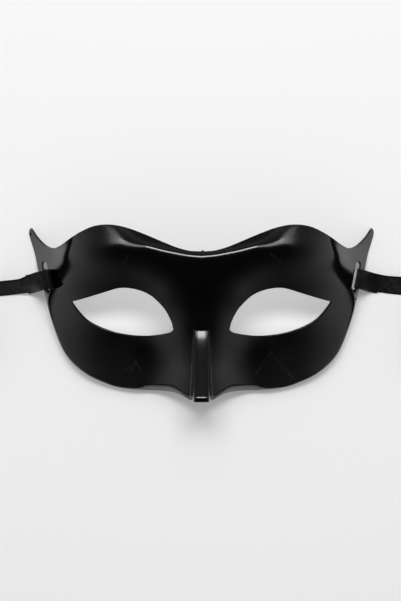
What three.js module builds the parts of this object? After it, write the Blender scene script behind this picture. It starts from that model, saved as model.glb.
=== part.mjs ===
// Masquerade half mask of gloss black moulded plastic with two satin ribbon ties, lying face up on its
// back rim. Millimetres: +X is the wearer's left, +Y is towards the brow, +Z is up, z = 0 is the table.
import * as THREE from 'three';

// Thickness of the shell, and the middle of its length in Y, which is moved to the origin
const WALL = 1.2;
const PLAN_CENTRE_Y = -1;

// Nose: a flat ridge that rises to the tip between steep side walls
const BRIDGE_HEIGHT = 33.9;
const NOSE_ROOT_Y = -7.6;
const NOSE_HALF_WIDTH = 3.9;
const NOSE_WALL = slope(86.5);
const NOSE_RISE = 0.37;
const NOSE_START = 0.15;
const NOSE_SETTLE = 7;
const NOSE_END_Y = -41.4;
const NOSE_END_RADIUS = 3.4;
const NOSE_END_DEPTH = 2.9;
const NOSE_END_WALL = slope(88);
const NOSE_EDGE_ROUND = 0.3;
const NOSE_TOP_BLEND = 0.4;

// Crest of the brow, where the surface turns back towards the top edge, softer towards the sides
const BROW_TURN = slope(42);
const BROW_ROUND = 1.1;
const BROW_SOFT_ROUND = 4;
const BROW_SOFT_X = 26;
const BROW_SOFT_SPAN = 14;

// Rims: the sides and cheeks end in a short skirt, and each wing runs straight from its fold to its rim
const RIM_HEIGHT = 0.8;
const SIDE_SKIRT = 2.4;
const SKIRT_BLEND = 1;
const WING_TOP_Y = 43;
const WING_FOOT_Y = 2;
const WING_FOOT_SPAN = 9;
const FOLD_ROUND = 0.6;
const CHEEK_END_X = 70;
const CHEEK_ROUND = 0.7;

// Slots and ribbons
const SLOT_TOP = [80.8, 25.6];
const SLOT_BOTTOM = [77.9, 11.5];
const SLOT_WIDTH = 2.2;
const RIBBON_WIDTH = 10;
const RIBBON_THICKNESS = 0.4;
const RIBBON_LENGTH = 400;
const CLEARANCE = 0.3;
const COIL_RADIUS = 23.5;
const COIL_PITCH = 4.6;
const COIL_SEGMENTS = 40;
const RIBBON_STEPS = 74;
const TANGENT_STEP = 1e-3;

// Mesh density: the grid, the edges, the rings beside them, and the rows along the nose and the crest
const GRID_STEP = 3.7;
const ROW_STEP = 3.22;
const GRID_WAVER = 0.05;
const GRID_CLEAR = 2.5;
const EDGE_STEP = 2.2;
const RING_OFFSETS = [0.9, 2.3];
const RING_SLACK = 0.15;
const EYE_RING_OFFSET = 1.8;
const EYE_RING_CLEAR = 1.6;
const LINE_STEP = 2.6;
const NOSE_LINES = [0, 2.6, 3.8, 4.8, 5.8, 7.6, 10.2];
const NOSE_CLEAR = 0.85;
const CREST_LINES = [-1, 0.6, 2.4];
const CREST_CLEAR = 1.4;
const CREST_END_X = 48;
const FOLD_LINES = [-0.9, 0.7];
const FOLD_LOW_Y = 10;
const FOLD_HIGH_Y = 37;
const PLAN_END_X = 92;
const PLAN_TOP_Y = 48;
const PLAN_LOW_Y = -51;
const NOSE_LOW_Y = -44.6;
const NOSE_END_LINES = [-0.2, -1.6, -2.8];
const NOSE_END_STEP = 1.3;
const SLOT_END_STEPS = 4;
const SLOT_SIDE_STEPS = 5;

// Outline of the right half in plan, from the middle of the brow out to the wing tip and back to the nose
const BROW_EDGE = [[0, 30.2], [6, 30.5], [12, 32.1], [18, 34.5], [24, 37.1], [30, 39.6], [36, 41.8],
  [42, 43.2], [48, 43.6], [54, 42.8], [60, 40.4], [66, 37.1], [71, 34.1], [74.8, 32.7], [78, 33.4],
  [81.6, 35.8], [85.2, 39.4], [87.8, 42.8]];
const WING_EDGE = [[89.1, 43.7], [90.1, 42.4], [90.1, 40.6], [89.2, 37.2], [87.2, 30.9], [84.7, 21.5],
  [82.4, 14.5], [80.7, 8], [79.1, 0.5], [77.3, -6], [75.1, -12.5], [72.4, -19], [68.4, -25],
  [63.6, -29.7], [57.5, -34]];
const CHEEK_EDGE = [[50.2, -37.3], [43.9, -39.2], [37.6, -40.2], [31.3, -40.7], [26.5, -40.8],
  [21.2, -40.9], [17, -41.1], [13.7, -41.6], [12.1, -42], [10.6, -42.6], [9, -43.4], [7.4, -44.3],
  [5.9, -45], [4.4, -45.4], [2.9, -45.6], [0, -45.6]];

// Eye hole of the right half: the upper lid from the inner to the outer corner, then the lower lid back
const UPPER_LID = [[14.2, -8.8], [14.8, -5.7], [16, -2.8], [18.2, 1.2], [20.8, 4.3], [23.4, 6.8],
  [26, 8.7], [28.8, 10.1], [32.5, 11.3], [36.4, 12], [40.5, 12.1], [44, 11.4], [48, 10.2], [54, 8.4],
  [60, 6.7]];
const LOWER_LID = [[65.6, 5.3], [62.6, 1.1], [58.4, -3.4], [53, -6.7], [47.6, -8.9], [42.2, -10.5],
  [36.9, -11.4], [31.7, -11.9], [26.5, -11.9], [21.4, -11.3], [17.8, -10.6], [15.4, -9.9]];

// Heights of the face at a net of stations, before the nose, the crest and the rims are formed
const STATIONS_X = [0, 8, 16, 24, 32, 44, 56, 68, 80, 92];
const STATIONS_Y = [50, 39, 28, 20, 11.6, 4.6, -3.4, -11.4, -19.4, -29.4, -40, -50];
const FACE_HEIGHTS = [
  [44, 44, 43.8, 43.4, 42.9, 41.8, 37.6, 31, 21, 8],
  [44, 44, 43.8, 43.4, 43, 41.9, 38, 30.6, 21, 8],
  [44, 44, 43.9, 43.5, 43, 41.8, 38.2, 30.6, 21, 8],
  [43.8, 43.7, 43.2, 41.8, 39.8, 37.2, 33.5, 27, 17.8, 6],
  [43, 42.7, 41, 37.6, 34.8, 32.2, 28.9, 23.2, 14.6, 4],
  [41, 40.5, 38.4, 35, 32.2, 29.4, 26, 20, 11.8, 2],
  [37.6, 37, 33.7, 29.8, 27, 24.4, 21.6, 16.2, 8.6, -1],
  [34, 32.9, 29.2, 25, 22.2, 20.2, 17.8, 12.8, 5.6, -4],
  [31, 28.5, 24.5, 21.2, 20.2, 18.2, 15.4, 10.4, 3, -7],
  [28, 24.4, 19.4, 16, 14.9, 13.4, 11, 6, -1.6, -11],
  [22, 18.6, 13.8, 9, 7.2, 5.2, 2.4, -3, -11, -20],
  [16, 12.6, 8, 2.4, 0.2, -2, -5.6, -12, -20, -30],
];

// Crest of the brow in plan, where the surface turns back towards the top edge
const CREST = [
  [0, 28.3], [7, 28.9], [13.4, 30.1], [19.4, 31.4], [24.9, 32.9], [30.9, 34.6], [35.8, 37.3],
  [40.3, 40.8], [46.5, 45.2], [53, 49], [60, 55], [92, 80],
];

// Height of each wing's rim, and how far its fold lies in from the rim, by place in Y
const WING_RIM = [[0, 9.4], [6, 9.8], [11, 9.9], [16, 9.6], [20, 8.2], [24, 5], [28, 2.6], [33, 1.3],
  [38, 0.8], [46, 0.8]];
const WING_REACH = [
  [-50, 0.3], [-20, 0.3], [-4, 0.3], [2, 0.35], [6, 0.9], [9, 2.4], [11.6, 5], [16, 11], [20, 14.2],
  [24, 16.7], [28, 18.4], [36, 23.7], [44, 27],
];

// Depth of the cheek's skirt and its slope in degrees, by place in X
const CHEEK_SKIRTS = [[0, 0.8], [8, 1], [17, 3.2], [25, 3], [32, 1.8], [38, 1.4],
  [46, 2], [53, 5.4], [62, 4], [72, 2.4]];
const SKIRT_SLOPES = [[0, 48], [5, 50], [11, 62], [28, 62], [36, 80], [44, 86], [72, 86]];

// Routes of the ribbons from the glued end: x, y and z of the middle, and the roll in degrees. Each starts
// under itself, goes in behind the rim, out through the slot, over the rim and away to its coil.
const RIGHT_ROUTE = [
  [92.6, 14.5, 0.4, 0], [90, 14.9, 0.7, -1], [87.6, 15.4, 1.7, -4], [85.4, 16, 3.3, -8],
  [83.3, 16.5, 5.3, -11], [81.4, 17, 7.4, -12], [80, 17.3, 9.8, -12], [79.6, 17.4, 12.4, -11],
  [79.9, 17.3, 14.4, -10], [81, 17.1, 14.8, -9], [82.4, 16.8, 13.4, -9], [83.9, 16.5, 11.2, -7],
  [85.2, 16.2, 8.8, -5], [86.5, 15.9, 6.5, 0], [88, 15.5, 4.6, 6], [90, 15.1, 3.5, 14],
  [92.2, 14.8, 2.9, 20], [95.2, 14.4, 2.6, 26], [99.4, 13.9, 2.2, 22], [105.4, 13.4, 1.8, 17],
  [110.4, 12.7, 3, 32], [116, 12, 5, 66], [122, 11.4, 5.4, 88], [130.5, 11.2, 5.4, 90],
];
const LEFT_ROUTE = [
  [91.2, 14.2, 0.5, 0], [88.8, 14.6, 1.2, -2], [86.4, 15.3, 2.8, -6], [83.9, 16.1, 5, -9],
  [81.6, 16.9, 7.4, -11], [80, 17.2, 9.8, -12], [79.6, 17.3, 12.4, -11], [79.5, 17.2, 15, -10],
  [78.9, 16.9, 17, -9], [79.1, 16.7, 18.7, -9], [80.4, 16.6, 19.3, -7], [82.1, 16.3, 18, -2],
  [83.8, 15.8, 15.4, 8], [85.6, 15.1, 12.2, 22], [87.8, 14.4, 9, 34], [90.4, 13.7, 6.8, 40],
  [93.6, 13.2, 5.4, 42], [97, 12.8, 4.5, 41], [101, 12.4, 3.9, 40], [105.4, 12, 3.8, 40],
  [110.4, 11.7, 4.3, 52], [116, 11.4, 5.1, 74], [122, 11.3, 5.4, 88], [130.5, 11.2, 5.4, 90],
];

const { degToRad, lerp, smoothstep } = THREE.MathUtils;
const plastic = new THREE.MeshStandardMaterial({ color: 0x050505, roughness: 0.12, metalness: 0 });
const satin = new THREE.MeshStandardMaterial({ color: 0x0c0c0e, roughness: 0.45, metalness: 0 });

function slope(degrees) {
  return Math.tan(THREE.MathUtils.degToRad(degrees));
}

// Rounded lower and upper envelopes of two heights, and a rounded ramp
function lower(a, b, blend) {
  return (a + b - Math.hypot(a - b, blend)) / 2;
}

function upper(a, b, blend) {
  return (a + b + Math.hypot(a - b, blend)) / 2;
}

function ramp(t, blend) {
  return upper(t, 0, blend);
}

function bell(offset, spread) {
  return Math.exp(-((offset / spread) ** 2));
}

// Natural cubic spline through points, as a function of the first coordinate
function spline(knots, values) {
  const n = knots.length;
  const bend = new Array(n).fill(0);
  const pivot = new Array(n).fill(0);
  for (let i = 1; i < n - 1; i += 1) {
    const left = knots[i] - knots[i - 1];
    const right = knots[i + 1] - knots[i];
    const turn = (values[i + 1] - values[i]) / right - (values[i] - values[i - 1]) / left;
    const p = 2 * (left + right) - left * pivot[i - 1];
    pivot[i] = right / p;
    bend[i] = (6 * turn - left * bend[i - 1]) / p;
  }
  for (let i = n - 2; i > 0; i -= 1) {
    bend[i] -= pivot[i] * bend[i + 1];
  }
  return (t) => {
    let i = 0;
    while (i < n - 2 && t > knots[i + 1]) i += 1;
    const h = knots[i + 1] - knots[i];
    const a = (knots[i + 1] - t) / h;
    const b = 1 - a;
    const curve = (a ** 3 - a) * bend[i] + (b ** 3 - b) * bend[i + 1];
    const inside = t >= knots[0] && t <= knots[n - 1] ? 1 : 0;
    return a * values[i] + b * values[i + 1] + inside * curve * h * h / 6;
  };
}

function splineThrough(points) {
  return spline(points.map((p) => p[0]), points.map((p) => p[1]));
}

// Value at a place, eased from each point to the next
function easedAt(points, t) {
  let i = 0;
  while (i < points.length - 2 && t > points[i + 1][0]) i += 1;
  const [from, start] = points[i];
  const [to, end] = points[i + 1];
  return lerp(start, end, smoothstep(t, from, to));
}

// Cardinal splines: one per knot, so that a height is the sum of weights times heights
function cardinals(knots) {
  return knots.map((_, k) => spline(knots, knots.map((__, i) => (i === k ? 1 : 0))));
}

const ascendingY = [...STATIONS_Y].reverse();
const ascendingHeights = [...FACE_HEIGHTS].reverse();
const weightsX = cardinals(STATIONS_X);
const weightsY = cardinals(ascendingY);
const byY = [...WING_EDGE, ...CHEEK_EDGE.slice(0, 1)].slice(1).reverse();
const wingEdgeX = spline(byY.map((p) => p[1]), byY.map((p) => p[0]));
const byX = [...WING_EDGE.slice(-4), ...CHEEK_EDGE].reverse();
const cheekEdgeY = spline(byX.map((p) => p[0]), byX.map((p) => p[1]));
const crestY = splineThrough(CREST);
const wingRim = splineThrough(WING_RIM);
const wingReach = splineThrough(WING_REACH);

function netHeight(x, y) {
  const wx = weightsX.map((w) => w(x));
  let z = 0;
  weightsY.forEach((w, row) => {
    const across = ascendingHeights[row].reduce((sum, h, i) => sum + h * wx[i], 0);
    z += w(y) * across;
  });
  return z;
}

// Height of the nose: a ridge that rises to its tip, with steep sides and a steep end
function noseHeight(x, y) {
  const along = NOSE_ROOT_Y - y;
  const settling = Math.exp(-Math.max(along, -NOSE_SETTLE) / NOSE_SETTLE);
  const ridge = BRIDGE_HEIGHT + NOSE_RISE * along + (NOSE_RISE - NOSE_START) * NOSE_SETTLE * settling;
  const past = Math.max(NOSE_END_Y - y, 0);
  const rolled = Math.min(past, NOSE_END_DEPTH);
  const roll = NOSE_END_RADIUS - Math.sqrt(NOSE_END_RADIUS ** 2 - rolled ** 2);
  const end = roll + NOSE_END_WALL * (past - rolled);
  return ridge - end - NOSE_WALL * ramp(x - NOSE_HALF_WIDTH, NOSE_EDGE_ROUND);
}

// Height of the face with its turned crest, before the rims and the nose are formed
function faceHeight(x, y) {
  const softness = smoothstep(x, BROW_SOFT_X, BROW_SOFT_X + BROW_SOFT_SPAN);
  const crestRound = lerp(BROW_ROUND, BROW_SOFT_ROUND, softness);
  return netHeight(x, y) - BROW_TURN * ramp(y - crestY(x), crestRound);
}

// Height of the outer face of the mask above the table
function outerHeight(xSigned, y) {
  const x = Math.abs(xSigned);
  let z = faceHeight(x, y);
  const side = wingEdgeX(Math.min(y, WING_TOP_Y));
  const sideRim = upper(faceHeight(side, y) - SIDE_SKIRT, RIM_HEIGHT, SKIRT_BLEND);
  const upWing = smoothstep(y, WING_FOOT_Y, WING_FOOT_Y + WING_FOOT_SPAN);
  const rim = lerp(sideRim, wingRim(y), upWing);
  const reach = Math.max(wingReach(y), WING_REACH[0][1]);
  z = lower(z, rim + (side - x) * (faceHeight(side - reach, y) - rim) / reach, FOLD_ROUND);
  if (x < CHEEK_END_X) {
    const edge = cheekEdgeY(x);
    const cheekRim = upper(faceHeight(x, edge) - easedAt(CHEEK_SKIRTS, x), RIM_HEIGHT, SKIRT_BLEND);
    z = lower(z, cheekRim + (y - edge) * slope(easedAt(SKIRT_SLOPES, x)), CHEEK_ROUND);
  }
  return upper(z, noseHeight(x, y), NOSE_TOP_BLEND);
}

// Unit normal of the outer face, taken over about one wall thickness so that the inner face stays smooth
function outerNormal(x, y) {
  const h = WALL;
  const dx = (outerHeight(x + h, y) - outerHeight(x - h, y)) / (2 * h);
  const dy = (outerHeight(x, y + h) - outerHeight(x, y - h)) / (2 * h);
  return new THREE.Vector3(-dx, -dy, 1).normalize();
}

// Points at even steps along an open row of corners, rounded by a centripetal curve
function alongCurve(corners, step) {
  const places = corners.map(([x, y]) => new THREE.Vector3(x, y, 0));
  const curve = new THREE.CatmullRomCurve3(places, false, 'centripetal');
  const count = Math.max(2, Math.round(curve.getLength() / step));
  return curve.getSpacedPoints(count).map((p) => [p.x, p.y]);
}

function mirrored(points) {
  return points.map(([x, y]) => [-x, y]).reverse();
}

// Right half of the outer loop, joined to its mirror image
function outlineLoop() {
  const half = [];
  for (const [x, y] of alongCurve([...BROW_EDGE, ...WING_EDGE, ...CHEEK_EDGE], EDGE_STEP)) {
    const [lastX, lastY] = half[half.length - 1] ?? [x, y];
    const rise = outerHeight(x, y) - outerHeight(lastX, lastY);
    if (Math.abs(rise) > EDGE_STEP) half.push([(x + lastX) / 2, (y + lastY) / 2]);
    half.push([x, y]);
  }
  half[0][0] = 0;
  half[half.length - 1][0] = 0;
  return [...half, ...mirrored(half.slice(1, -1))];
}

function eyeLoop() {
  const upperLid = alongCurve([...UPPER_LID, LOWER_LID[0]], EDGE_STEP);
  const lowerLid = alongCurve([...LOWER_LID, UPPER_LID[0]], EDGE_STEP);
  return [...upperLid.slice(0, -1), ...lowerLid.slice(0, -1)];
}

// Slot with round ends, across the wing beside its outer edge
function slotLoop() {
  const top = new THREE.Vector2(...SLOT_TOP);
  const bottom = new THREE.Vector2(...SLOT_BOTTOM);
  const radius = SLOT_WIDTH / 2;
  const along = top.clone().sub(bottom).normalize();
  const across = new THREE.Vector2(along.y, -along.x);
  const loop = [];
  for (const [centre, sign] of [[top, 1], [bottom, -1]]) {
    for (let i = 0; i <= SLOT_END_STEPS; i += 1) {
      const angle = Math.PI * i / SLOT_END_STEPS;
      const p = centre.clone().addScaledVector(along, sign * (Math.sin(angle) - 1) * radius);
      p.addScaledVector(across, sign * Math.cos(angle) * radius);
      loop.push([p.x, p.y]);
    }
    const other = sign > 0 ? bottom : top;
    for (let i = 1; i < SLOT_SIDE_STEPS; i += 1) {
      const p = centre.clone().addScaledVector(along, -sign * radius);
      const q = other.clone().addScaledVector(along, sign * radius);
      p.lerp(q, i / SLOT_SIDE_STEPS).addScaledVector(across, -sign * radius);
      loop.push([p.x, p.y]);
    }
  }
  return loop;
}

function insideLoop(loop, x, y) {
  let inside = false;
  for (let i = 0, j = loop.length - 1; i < loop.length; j = i, i += 1) {
    const [xi, yi] = loop[i];
    const [xj, yj] = loop[j];
    if ((yi > y) !== (yj > y) && x < (xj - xi) * (y - yi) / (yj - yi) + xi) inside = !inside;
  }
  return inside;
}

// Points at a distance from a loop, on its left side where inset is positive
function offsetLoop(loop, inset) {
  return loop.map(([x, y], i) => {
    const [ax, ay] = loop[(i + loop.length - 1) % loop.length];
    const [bx, by] = loop[(i + 1) % loop.length];
    const length = Math.hypot(bx - ax, by - ay);
    return [x - inset * (by - ay) / length, y + inset * (bx - ax) / length];
  });
}

function loopArea(loop) {
  return loop.reduce((sum, [x, y], i) => {
    const [u, v] = loop[(i + 1) % loop.length];
    return sum + (x * v - u * y) / 2;
  }, 0);
}

// Delaunay triangles of points in the plane, by adding one point at a time
function delaunay(points) {
  const far = 1e4;
  const all = [...points, [-far, -far], [far, -far], [0, far]];
  const n = points.length;
  const circle = (a, b, c) => {
    const [ax, ay] = all[a];
    const bx = all[b][0] - ax;
    const by = all[b][1] - ay;
    const cx = all[c][0] - ax;
    const cy = all[c][1] - ay;
    const d = 2 * (bx * cy - by * cx);
    const ux = (cy * (bx * bx + by * by) - by * (cx * cx + cy * cy)) / d;
    const uy = (bx * (cx * cx + cy * cy) - cx * (bx * bx + by * by)) / d;
    return { corners: [a, b, c], x: ax + ux, y: ay + uy, r2: ux * ux + uy * uy };
  };
  let triangles = [circle(n, n + 1, n + 2)];
  for (let p = 0; p < n; p += 1) {
    const [x, y] = all[p];
    const open = new Map();
    const kept = [];
    for (const t of triangles) {
      if ((t.x - x) ** 2 + (t.y - y) ** 2 >= t.r2) {
        kept.push(t);
      } else {
        t.corners.forEach((a, i) => {
          const b = t.corners[(i + 1) % 3];
          if (!open.delete(`${b} ${a}`)) open.set(`${a} ${b}`, [a, b]);
        });
      }
    }
    for (const [a, b] of open.values()) kept.push(circle(a, b, p));
    triangles = kept;
  }
  return triangles.map((t) => t.corners).filter((corners) => corners.every((i) => i < n));
}

// Points of the sheet: the loops, rows beside them and along the nose and crest, then a staggered grid
function sheetPoints(loops) {
  const kept = loops.flat();
  const [outline, ...holes] = loops;
  const add = (x, y, clear) => {
    if (!insideLoop(outline, x, y) || holes.some((hole) => insideLoop(hole, x, y))) return;
    if (kept.some(([u, v]) => Math.hypot(u - x, v - y) < clear)) return;
    kept.push([x, y]);
  };
  const addBoth = (x, y, clear) => {
    add(x, y, clear);
    add(-x, y, clear);
  };
  const outward = loopArea(outline) > 0 ? 1 : -1;
  RING_OFFSETS.forEach((inset, i) => {
    const ring = offsetLoop(outline, outward * inset).filter((_, k) => i === 0 || k % 2 === 0);
    ring.forEach(([x, y]) => add(x, y, inset - RING_SLACK));
  });
  holes.slice(0, 2).forEach((hole) => {
    const side = loopArea(hole) > 0 ? -1 : 1;
    offsetLoop(hole, side * EYE_RING_OFFSET).forEach(([x, y]) => add(x, y, EYE_RING_CLEAR));
  });
  for (let y = NOSE_LOW_Y; y < NOSE_ROOT_Y; y += LINE_STEP) {
    NOSE_LINES.forEach((x) => addBoth(x, y, NOSE_CLEAR));
  }
  for (let x = 0; x < NOSE_HALF_WIDTH; x += NOSE_END_STEP) {
    NOSE_END_LINES.forEach((lift) => addBoth(x, NOSE_END_Y + lift, NOSE_CLEAR));
  }
  for (let x = 0; x < CREST_END_X; x += LINE_STEP) {
    CREST_LINES.forEach((lift) => addBoth(x, crestY(x) + lift, CREST_CLEAR));
  }
  for (let y = FOLD_LOW_Y; y < FOLD_HIGH_Y; y += LINE_STEP) {
    FOLD_LINES.forEach((lean) => addBoth(wingEdgeX(y) - wingReach(y) + lean, y, CREST_CLEAR));
  }
  for (let row = 0; PLAN_TOP_Y - row * ROW_STEP > PLAN_LOW_Y; row += 1) {
    const y = PLAN_TOP_Y - row * ROW_STEP;
    for (let x = (row % 2) * GRID_STEP / 2; x < PLAN_END_X; x += GRID_STEP) {
      addBoth(x, y + GRID_WAVER * Math.sin(x), GRID_CLEAR);
    }
  }
  return kept;
}

// The shell: the flat sheet is given its height, and a second face follows one wall thickness behind
function maskShell() {
  const eye = eyeLoop();
  const slot = slotLoop();
  const loops = [outlineLoop(), eye, mirrored(eye), slot, mirrored(slot)];
  const [outline, ...holes] = loops;
  const points = sheetPoints(loops);
  const slotStart = outline.length + 2 * eye.length;
  const slotPoints = new Set([...Array(2 * slot.length).keys()].map((i) => i + slotStart));
  const positions = [];
  const inner = [];
  points.forEach(([x, y], i) => {
    const z = outerHeight(x, y);
    const back = outerNormal(x, y);
    if (slotPoints.has(i)) back.set(0, 0, 1 / back.z);
    back.multiplyScalar(-WALL).add(new THREE.Vector3(x, y, z));
    positions.push(x, y, Math.max(z, WALL / 2));
    inner.push(back.x, back.y, Math.max(back.z, 0));
  });
  positions.push(...inner);
  const n = points.length;
  const faces = [];
  const edges = new Map();
  for (let [a, b, c] of delaunay(points)) {
    const u = (points[a][0] + points[b][0] + points[c][0]) / 3;
    const v = (points[a][1] + points[b][1] + points[c][1]) / 3;
    if (!insideLoop(outline, u, v) || holes.some((hole) => insideLoop(hole, u, v))) continue;
    if (loopArea([points[a], points[b], points[c]]) < 0) [b, c] = [c, b];
    faces.push(a, b, c, n + a, n + c, n + b);
    [[a, b], [b, c], [c, a]].forEach(([p, q]) => {
      if (!edges.delete(`${q} ${p}`)) edges.set(`${p} ${q}`, [p, q]);
    });
  }
  for (const [p, q] of edges.values()) faces.push(p, n + p, q, q, n + p, n + q);
  const geometry = new THREE.BufferGeometry();
  geometry.setAttribute('position', new THREE.Float32BufferAttribute(positions, 3));
  geometry.setIndex(faces);
  geometry.computeVertexNormals();
  const mesh = new THREE.Mesh(geometry, plastic);
  mesh.name = 'mask_shell';
  return mesh;
}

// One ribbon from its glued end to the coil: a flat section carried along the route and rolled about it
function ribbonSolid(route, side, name) {
  const places = route.map(([x, y, z]) => new THREE.Vector3(x, y, z));
  const centre = new THREE.CatmullRomCurve3(places, false, 'centripetal');
  const slotLine = new THREE.Vector2(...SLOT_TOP).sub(new THREE.Vector2(...SLOT_BOTTOM));
  const base = new THREE.Vector3(slotLine.x, slotLine.y, 0).normalize();
  const section = [[-1, -1], [-0.4, -1], [0.4, -1], [1, -1], [1, 1], [0.4, 1], [-0.4, 1], [-1, 1]];
  const rollAt = (u) => {
    const place = u * (route.length - 1);
    const i = Math.min(Math.floor(place), route.length - 2);
    return degToRad(lerp(route[i][3], route[i + 1][3], place - i));
  };
  const positions = [];
  for (let k = 0; k <= RIBBON_STEPS; k += 1) {
    const u = centre.getUtoTmapping(k / RIBBON_STEPS);
    const middle = centre.getPoint(u);
    const ahead = centre.getPoint(Math.min(u + TANGENT_STEP, 1));
    const behind = centre.getPoint(Math.max(u - TANGENT_STEP, 0));
    const tangent = ahead.sub(behind).normalize();
    const roll = rollAt(u);
    const across = base.clone().multiplyScalar(Math.cos(roll));
    across.z = Math.sin(roll);
    across.addScaledVector(tangent, -tangent.dot(across)).normalize();
    const out = new THREE.Vector3().crossVectors(tangent, across);
    for (const [a, b] of section) {
      const p = middle.clone().addScaledVector(across, a * RIBBON_WIDTH / 2);
      p.addScaledVector(out, b * RIBBON_THICKNESS / 2);
      positions.push(side * p.x, p.y, p.z);
    }
  }
  const n = section.length;
  const faces = [];
  const turn = (a, b, c) => (side > 0 ? faces.push(a, c, b) : faces.push(a, b, c));
  for (let k = 0; k < RIBBON_STEPS; k += 1) {
    for (let i = 0; i < n; i += 1) {
      const j = (i + 1) % n;
      turn(k * n + i, (k + 1) * n + j, k * n + j);
      turn(k * n + i, (k + 1) * n + i, (k + 1) * n + j);
    }
  }
  for (const [first, flip] of [[0, false], [RIBBON_STEPS * n, true]]) {
    [[0, 1, 7], [1, 6, 7], [1, 2, 6], [2, 5, 6], [2, 3, 5], [3, 4, 5]].forEach(([a, b, c]) => {
      turn(first + a, first + (flip ? c : b), first + (flip ? b : c));
    });
  }
  const geometry = new THREE.BufferGeometry();
  geometry.setAttribute('position', new THREE.Float32BufferAttribute(positions, 3));
  geometry.setIndex(faces);
  geometry.computeVertexNormals();
  const mesh = new THREE.Mesh(geometry, satin);
  mesh.name = name;
  return { mesh, length: centre.getLength(), end: centre.getPoint(1) };
}

// The space of a ribbon's coil, which stands on edge on the table: a ring about an upright axis
function coilSolid(ribbon, side, name) {
  const height = RIBBON_WIDTH + CLEARANCE;
  const outerRadius = COIL_RADIUS + RIBBON_THICKNESS;
  const coiled = RIBBON_LENGTH - ribbon.length;
  const innerRadius = Math.sqrt(COIL_RADIUS ** 2 - coiled * COIL_PITCH / Math.PI) - RIBBON_THICKNESS;
  const corners = [[innerRadius, 0], [outerRadius, 0], [outerRadius, height], [innerRadius, height]];
  const profile = [...corners, corners[0]].map(([r, z]) => new THREE.Vector2(r, z));
  const geometry = new THREE.LatheGeometry(profile, COIL_SEGMENTS);
  geometry.rotateX(Math.PI / 2);
  const mesh = new THREE.Mesh(geometry, satin);
  const gap = outerRadius + CLEARANCE + RIBBON_THICKNESS / 2;
  mesh.position.set(side * ribbon.end.x, ribbon.end.y - gap, CLEARANCE / 2);
  mesh.name = name;
  return mesh;
}

const mask = new THREE.Group();
mask.add(maskShell());
for (const [name, route, side] of [['ribbon_right', RIGHT_ROUTE, 1], ['ribbon_left', LEFT_ROUTE, -1]]) {
  const ribbon = ribbonSolid(route, side, name);
  mask.add(ribbon.mesh, coilSolid(ribbon, side, `${name}_coil`));
}
mask.children.forEach((mesh) => mesh.position.setY(mesh.position.y - PLAN_CENTRE_Y));

export default mask;
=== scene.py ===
# Masquerade half mask of gloss black plastic with two satin ribbon ties, lying face up on its back rim
import math

import bmesh
import bpy
import numpy as np
from mathutils.geometry import delaunay_2d_cdt
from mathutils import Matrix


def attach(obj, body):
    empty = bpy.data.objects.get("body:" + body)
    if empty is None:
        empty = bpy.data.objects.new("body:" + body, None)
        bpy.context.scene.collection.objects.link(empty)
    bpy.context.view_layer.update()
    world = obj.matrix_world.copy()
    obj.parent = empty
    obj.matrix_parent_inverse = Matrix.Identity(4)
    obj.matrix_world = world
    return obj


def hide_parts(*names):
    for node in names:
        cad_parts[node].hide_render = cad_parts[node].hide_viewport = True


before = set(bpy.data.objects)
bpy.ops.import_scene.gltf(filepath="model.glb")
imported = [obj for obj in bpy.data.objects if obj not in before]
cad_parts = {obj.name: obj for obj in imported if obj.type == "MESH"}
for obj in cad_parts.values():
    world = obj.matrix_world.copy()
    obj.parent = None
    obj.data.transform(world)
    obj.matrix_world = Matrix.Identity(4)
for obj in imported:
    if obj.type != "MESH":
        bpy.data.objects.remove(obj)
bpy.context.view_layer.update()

# Camera
# The photograph looks straight down on the mask, with the brow towards the top of the picture. The
# lens takes in the shell and the first short stretch of each ribbon.
CAMERA_PLACE = (-0.00047, 0.00686, 0.75)
LENS = 85.82
FRAME_HEIGHT = 36.0
camera_data = bpy.data.cameras.new("camera")
camera_data.sensor_fit = "VERTICAL"
camera_data.sensor_height = FRAME_HEIGHT
camera_data.lens = LENS
camera = bpy.data.objects.new("camera", camera_data)
camera.location = CAMERA_PLACE
bpy.context.collection.objects.link(camera)
bpy.context.scene.camera = camera

# Ribbon ties
# Each is a 10 mm single-face satin ribbon, folded through the slot in its wing and glued under itself.
# It lies out flat past the edge of the picture, then stands on edge on the table in a loose coil.
MM = 0.001
PLAN_CENTRE_Y = -1
RIBBON_WIDTH = 10
RIBBON_THICKNESS = 0.3
RIBBON_LENGTH = 400
SELVEDGE_SWELL = 0.6
SELVEDGE_START = 0.8
SELVEDGE_FULL = 0.93
CAD_THICKNESS = 0.4
CLEARANCE = 0.3
COIL_RADIUS = 23.5
COIL_PITCH = 4.6
COIL_POINTS_A_TURN = 48
COIL_CENTRE_Z = 5.05
SETTLE_TURN = 0.25
PLACES_A_SPAN = 200
RIBBON_POINTS = 150
SECTION_POINTS = 36
SECTION_SQUARENESS = 0.28
SLOT_TOP = (80.8, 25.6)
SLOT_BOTTOM = (77.9, 11.5)

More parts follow.
